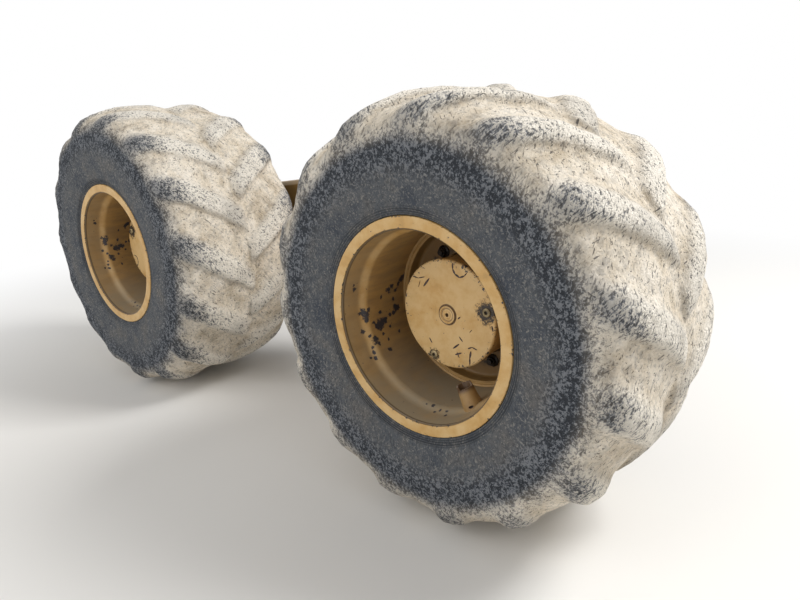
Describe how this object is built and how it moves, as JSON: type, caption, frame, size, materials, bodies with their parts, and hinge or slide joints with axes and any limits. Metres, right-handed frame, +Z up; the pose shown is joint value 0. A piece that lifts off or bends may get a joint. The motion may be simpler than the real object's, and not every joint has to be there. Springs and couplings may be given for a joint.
{
  "type": "forwarder bogie with wheels",
  "caption": "Rocking bogie gear case for one side of a forwarder's axle, with two wide lugged wheels that turn freely on it.",
  "frame": {"origin": "centre of the axle flange's bolted face, on the axis that the bogie rocks about", "axes": "+X forward along the machine, +Y inboard along the rocking axis, out of the axle flange, +Z up"},
  "size_m": [3.5336, 1.22, 1.494],
  "materials": {
    "tyre": "worn, dusty",
    "wheel_paint": "satin, chipped",
    "hub_paint": "satin, scratched",
    "case_paint": "satin, dusty",
    "axle_paint": "satin, dusty",
    "bearing_steel": "turned",
    "bare_steel": "dark, greasy"
  },
  "bodies": {
    "axle_end": {"axle_flange": "axle_paint", "trunnion": "bearing_steel"},
    "bogie": {"hub_carrier_front": "case_paint", "hub_carrier_rear": "case_paint", "end_cover_front": "case_paint", "end_cover_rear": "case_paint", "oil_plug_front": "bare_steel", "oil_plug_rear": "bare_steel", "gear_case": "case_paint", "centre_cover": "case_paint", "bearing_ring": "bearing_steel", "breather": "bare_steel"},
    "front_wheel": {"tyre_front": "tyre", "rim_front": "wheel_paint", "wheel_disc_front": "wheel_paint", "hub_front": "hub_paint", "hub_cover_front": "hub_paint", "valve_guard_front": "wheel_paint", "hub_level_plug_front": "bare_steel", "hub_drain_plug_front": "bare_steel"},
    "rear_wheel": {"tyre_rear": "tyre", "rim_rear": "wheel_paint", "wheel_disc_rear": "wheel_paint", "hub_rear": "hub_paint", "hub_cover_rear": "hub_paint", "valve_guard_rear": "wheel_paint", "hub_level_plug_rear": "bare_steel", "hub_drain_plug_rear": "bare_steel"}
  },
  "joints": [
    {"name": "bogie_rock", "type": "hinge", "parent": "axle_end", "child": "bogie", "pos_m": [0, -0.3, 0], "axis": [0, 1, 0], "range_deg": [-17, 17]},
    {"name": "front_wheel_spin", "type": "hinge", "parent": "bogie", "child": "front_wheel", "pos_m": [1.02, -0.85, -0.06], "axis": [0, 1, 0], "continuous": true},
    {"name": "rear_wheel_spin", "type": "hinge", "parent": "bogie", "child": "rear_wheel", "pos_m": [-1.02, -0.85, -0.06], "axis": [0, 1, 0], "continuous": true}
  ]
}
